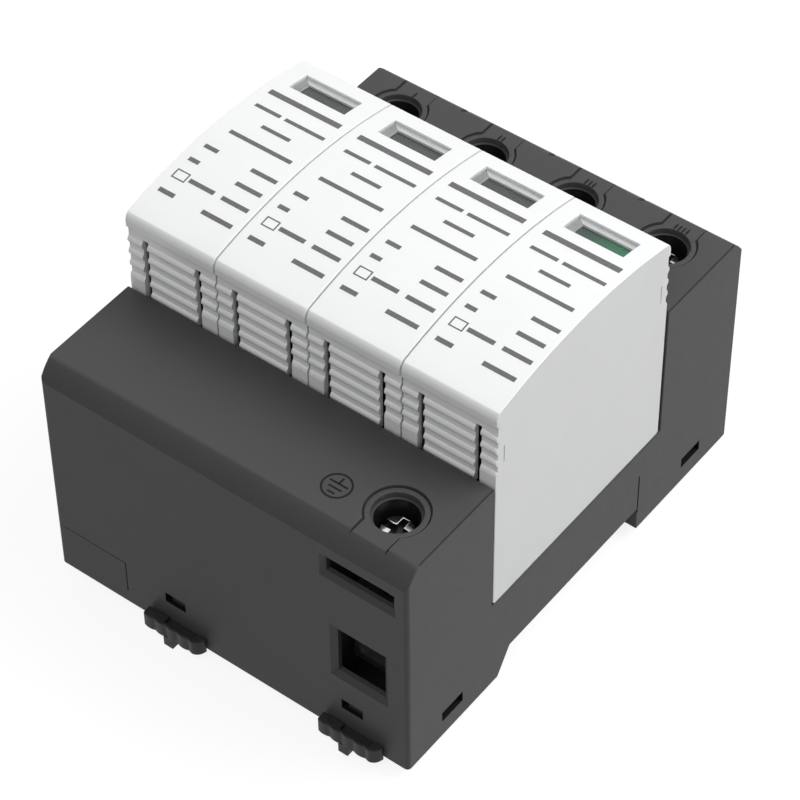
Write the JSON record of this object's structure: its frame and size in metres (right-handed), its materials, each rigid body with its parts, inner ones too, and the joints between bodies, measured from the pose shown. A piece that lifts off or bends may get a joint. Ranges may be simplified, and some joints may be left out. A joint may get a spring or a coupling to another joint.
{
  "type": "din-rail surge arrester",
  "caption": "Pluggable surge arrester for a mounting rail: dark base with screw terminals and white plug-in cartridges with status windows.",
  "frame": {"origin": "middle of the rail seat: centre of the unit's width, on the rail's centreline, on the rail's face", "axes": "+X along the rail, +Y towards the line terminals, -Y towards the earth terminal and rail latches, +Z away from the rail towards the cartridge tops"},
  "size_m": [0.072, 0.0922, 0.0678],
  "materials": {
    "base_plastic": "matte",
    "cover_plastic": "satin",
    "clear_plastic": "clear",
    "flag_grey_green": "matte",
    "flag_green": "matte",
    "plated_steel": "zinc plated",
    "tinned_copper": "tin plated",
    "spring_copper": "plain",
    "varistor_coat": "epoxy coat"
  },
  "bodies": {
    "base": {"base_housing": "base_plastic", "bottom_cover": "base_plastic", "earth_busbar": "tinned_copper", "line_contact_1": "tinned_copper", "line_contact_2": "tinned_copper", "line_contact_3": "tinned_copper", "line_contact_4": "tinned_copper"},
    "cartridge_1": {"cartridge_cover_1": "cover_plastic", "cartridge_floor_1": "cover_plastic", "status_window_1": "clear_plastic", "status_flag_1": "flag_grey_green", "varistor_1": "varistor_coat", "front_blade_1": "tinned_copper", "rear_blade_1": "tinned_copper", "disconnect_spring_1": "spring_copper"},
    "cartridge_2": {"cartridge_cover_2": "cover_plastic", "cartridge_floor_2": "cover_plastic", "status_window_2": "clear_plastic", "status_flag_2": "flag_grey_green", "varistor_2": "varistor_coat", "front_blade_2": "tinned_copper", "rear_blade_2": "tinned_copper", "disconnect_spring_2": "spring_copper"},
    "cartridge_3": {"cartridge_cover_3": "cover_plastic", "cartridge_floor_3": "cover_plastic", "status_window_3": "clear_plastic", "status_flag_3": "flag_grey_green", "varistor_3": "varistor_coat", "front_blade_3": "tinned_copper", "rear_blade_3": "tinned_copper", "disconnect_spring_3": "spring_copper"},
    "cartridge_4": {"cartridge_cover_4": "cover_plastic", "cartridge_floor_4": "cover_plastic", "status_window_4": "clear_plastic", "status_flag_4": "flag_green", "varistor_4": "varistor_coat", "front_blade_4": "tinned_copper", "rear_blade_4": "tinned_copper", "disconnect_spring_4": "spring_copper"},
    "latch_left": {"rail_latch_left": "base_plastic"},
    "latch_right": {"rail_latch_right": "base_plastic"},
    "line_1_screw_body": {"terminal_screw_1": "plated_steel"},
    "line_1_cage_body": {"terminal_cage_1": "plated_steel"},
    "line_2_screw_body": {"terminal_screw_2": "plated_steel"},
    "line_2_cage_body": {"terminal_cage_2": "plated_steel"},
    "line_3_screw_body": {"terminal_screw_3": "plated_steel"},
    "line_3_cage_body": {"terminal_cage_3": "plated_steel"},
    "line_4_screw_body": {"terminal_screw_4": "plated_steel"},
    "line_4_cage_body": {"terminal_cage_4": "plated_steel"},
    "earth_screw_body": {"earth_screw": "plated_steel"},
    "earth_cage_body": {"earth_cage": "plated_steel"}
  },
  "joints": [
    {"name": "cartridge_1_pull", "type": "slide", "parent": "base", "child": "cartridge_1", "axis": [0, 0, 1], "range_m": [0, 0.03]},
    {"name": "cartridge_2_pull", "type": "slide", "parent": "base", "child": "cartridge_2", "axis": [0, 0, 1], "range_m": [0, 0.03]},
    {"name": "cartridge_3_pull", "type": "slide", "parent": "base", "child": "cartridge_3", "axis": [0, 0, 1], "range_m": [0, 0.03]},
    {"name": "cartridge_4_pull", "type": "slide", "parent": "base", "child": "cartridge_4", "axis": [0, 0, 1], "range_m": [0, 0.03]},
    {"name": "latch_left_slide", "type": "slide", "parent": "base", "child": "latch_left", "axis": [0, -1, 0], "range_m": [0, 0.0035], "stiffness_N_per_m": 800, "springref_m": -0.001},
    {"name": "latch_right_slide", "type": "slide", "parent": "base", "child": "latch_right", "axis": [0, -1, 0], "range_m": [0, 0.0035], "stiffness_N_per_m": 800, "springref_m": -0.001},
    {"name": "line_1_screw_turn", "type": "hinge", "parent": "base", "child": "line_1_screw_body", "pos_m": [-0.027, 0.0355, 0.038], "axis": [0, 0, -1], "range_deg": [0, 3602]},
    {"name": "line_1_cage_lift", "type": "slide", "parent": "base", "child": "line_1_cage_body", "axis": [0, 0, 1], "range_m": [0, 0.008]},
    {"name": "line_2_screw_turn", "type": "hinge", "parent": "base", "child": "line_2_screw_body", "pos_m": [-0.009, 0.0355, 0.038], "axis": [0, 0, -1], "range_deg": [0, 3602]},
    {"name": "line_2_cage_lift", "type": "slide", "parent": "base", "child": "line_2_cage_body", "axis": [0, 0, 1], "range_m": [0, 0.008]},
    {"name": "line_3_screw_turn", "type": "hinge", "parent": "base", "child": "line_3_screw_body", "pos_m": [0.009, 0.0355, 0.038], "axis": [0, 0, -1], "range_deg": [0, 3602]},
    {"name": "line_3_cage_lift", "type": "slide", "parent": "base", "child": "line_3_cage_body", "axis": [0, 0, 1], "range_m": [0, 0.008]},
    {"name": "line_4_screw_turn", "type": "hinge", "parent": "base", "child": "line_4_screw_body", "pos_m": [0.027, 0.0355, 0.038], "axis": [0, 0, -1], "range_deg": [0, 3602]},
    {"name": "line_4_cage_lift", "type": "slide", "parent": "base", "child": "line_4_cage_body", "axis": [0, 0, 1], "range_m": [0, 0.008]},
    {"name": "earth_screw_turn", "type": "hinge", "parent": "base", "child": "earth_screw_body", "pos_m": [0.027, -0.0355, 0.038], "axis": [0, 0, -1], "range_deg": [0, 3602]},
    {"name": "earth_cage_lift", "type": "slide", "parent": "base", "child": "earth_cage_body", "axis": [0, 0, 1], "range_m": [0, 0.008]}
  ],
  "couplings": [
    {"joint": "line_1_screw_turn", "follows": "line_1_cage_lift", "rad_per_m": 7854},
    {"joint": "line_2_screw_turn", "follows": "line_2_cage_lift", "rad_per_m": 7854},
    {"joint": "line_3_screw_turn", "follows": "line_3_cage_lift", "rad_per_m": 7854},
    {"joint": "line_4_screw_turn", "follows": "line_4_cage_lift", "rad_per_m": 7854},
    {"joint": "earth_screw_turn", "follows": "earth_cage_lift", "rad_per_m": 7854}
  ]
}
